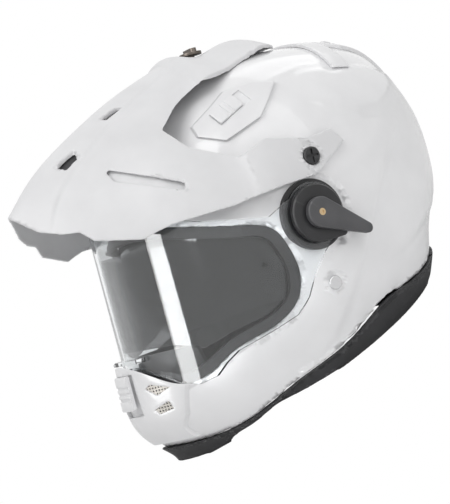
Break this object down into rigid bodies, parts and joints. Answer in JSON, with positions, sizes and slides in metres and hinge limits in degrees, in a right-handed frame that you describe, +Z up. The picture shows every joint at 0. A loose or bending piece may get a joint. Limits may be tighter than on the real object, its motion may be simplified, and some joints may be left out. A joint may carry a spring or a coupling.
{
  "type": "dual sport helmet",
  "caption": "Full-face riding helmet with long vented peak, clear hinged face shield, drop-down sun visor with side lever, sliding vents, padding and buckled chin strap.",
  "frame": {"origin": "centre of the bounding box's bottom face, on the surface the helmet stands on", "axes": "+X to the wearer's left, +Y to the back of the helmet, +Z up; the helmet rests on its lower edge with the face opening tilted up, as it stands on a table"},
  "size_m": [0.2668, 0.3922, 0.2897],
  "materials": {
    "shell_white": "gloss",
    "peak_white": "satin",
    "vent_white": "gloss",
    "clear_shield": "clear gloss",
    "clear_insert": "clear gloss",
    "smoke_visor": "dark smoke",
    "black_rubber": "matte",
    "black_plastic": "fine matte",
    "cover_black": "satin gloss",
    "lever_grey": "satin",
    "foam_grey": "beaded foam",
    "pad_fabric": "brushed knit",
    "strap_webbing": "woven webbing",
    "screw_bronze": "satin",
    "screw_brass": "satin",
    "rivet_steel": "polished",
    "mesh_metal": "matte",
    "buckle_steel": "brushed"
  },
  "bodies": {
    "shell": {"outer_shell": "shell_white", "eps_liner": "foam_grey", "crown_pad": "pad_fabric", "chin_foam": "foam_grey", "cheek_pad_left": "pad_fabric", "cheek_pad_right": "pad_fabric", "neck_roll": "pad_fabric", "base_trim": "black_rubber", "eye_port_gasket": "black_rubber", "breath_deflector": "black_plastic", "chin_vent_housing": "vent_white", "chin_vent_mesh": "mesh_metal", "top_vent_housing_left": "vent_white", "top_vent_housing_right": "vent_white", "rear_vent_bridge": "vent_white", "rear_vent_housing": "vent_white", "shield_base_left": "black_plastic", "shield_base_right": "black_plastic", "hinge_cover_left": "cover_black", "hinge_cover_right": "cover_black", "peak_top_bracket": "black_plastic", "peak_socket_left": "black_plastic", "peak_socket_right": "black_plastic", "strap_rivet_left": "rivet_steel", "strap_rivet_right": "rivet_steel", "chin_strap_left": "strap_webbing", "chin_strap_right": "strap_webbing", "buckle_receiver": "black_plastic", "buckle_tongue": "buckle_steel", "latch_pin": "buckle_steel"},
    "face_shield": {"face_shield": "clear_shield", "anti_fog_insert": "clear_insert", "insert_pins": "clear_shield"},
    "sun_visor": {"sun_visor": "smoke_visor", "visor_lever": "lever_grey", "lever_screw": "screw_brass", "hinge_cap_right": "lever_grey"},
    "peak": {"peak": "peak_white"},
    "peak_top_screw": {"peak_top_screw": "screw_bronze"},
    "peak_side_screw_left": {"peak_side_screw_left": "cover_black"},
    "peak_side_screw_right": {"peak_side_screw_right": "cover_black"},
    "chin_vent_slider": {"chin_vent_slider": "vent_white"},
    "top_vent_slider_left": {"top_vent_slider_left": "vent_white"},
    "top_vent_slider_right": {"top_vent_slider_right": "vent_white"},
    "rear_vent_slider": {"rear_vent_slider": "vent_white"},
    "buckle_latch": {"buckle_latch": "black_plastic"}
  },
  "joints": [
    {"name": "shield_hinge", "type": "hinge", "parent": "shell", "child": "face_shield", "pos_m": [0, -0.0052, 0.123], "axis": [-1, 0, 0], "range_deg": [0, 33]},
    {"name": "sun_visor_hinge", "type": "hinge", "parent": "shell", "child": "sun_visor", "pos_m": [0, -0.0052, 0.123], "axis": [-1, 0, 0], "range_deg": [0, 45]},
    {"name": "peak_tilt", "type": "hinge", "parent": "shell", "child": "peak", "pos_m": [0, 0.02279, 0.16292], "axis": [-1, 0, 0], "range_deg": [-2, 0]},
    {"name": "peak_top_screw_turn", "type": "hinge", "parent": "shell", "child": "peak_top_screw", "pos_m": [0, 0.04672, 0.27286], "axis": [0, 0.3746, 0.9272], "continuous": true},
    {"name": "peak_side_screw_left_turn", "type": "hinge", "parent": "shell", "child": "peak_side_screw_left", "pos_m": [0, 0.02279, 0.16292], "axis": [1, 0, 0], "continuous": true},
    {"name": "peak_side_screw_right_turn", "type": "hinge", "parent": "shell", "child": "peak_side_screw_right", "pos_m": [0, 0.02279, 0.16292], "axis": [-1, 0, 0], "continuous": true},
    {"name": "chin_vent_slide", "type": "slide", "parent": "shell", "child": "chin_vent_slider", "axis": [0, -0.3746, -0.9272], "range_m": [0, 0.006]},
    {"name": "top_vent_left_slide", "type": "slide", "parent": "shell", "child": "top_vent_slider_left", "axis": [0.1787, 0.9801, 0.0863], "range_m": [0, 0.008]},
    {"name": "top_vent_right_slide", "type": "slide", "parent": "shell", "child": "top_vent_slider_right", "axis": [-0.1787, 0.9801, 0.0863], "range_m": [0, 0.008]},
    {"name": "rear_vent_slide", "type": "slide", "parent": "shell", "child": "rear_vent_slider", "axis": [0, 0.7071, -0.7071], "range_m": [0, 0.008]},
    {"name": "buckle_latch_hinge", "type": "hinge", "parent": "shell", "child": "buckle_latch", "pos_m": [0.02, -0.07542, 0.02128], "axis": [0, -0.6157, 0.788], "range_deg": [0, 35]}
  ]
}
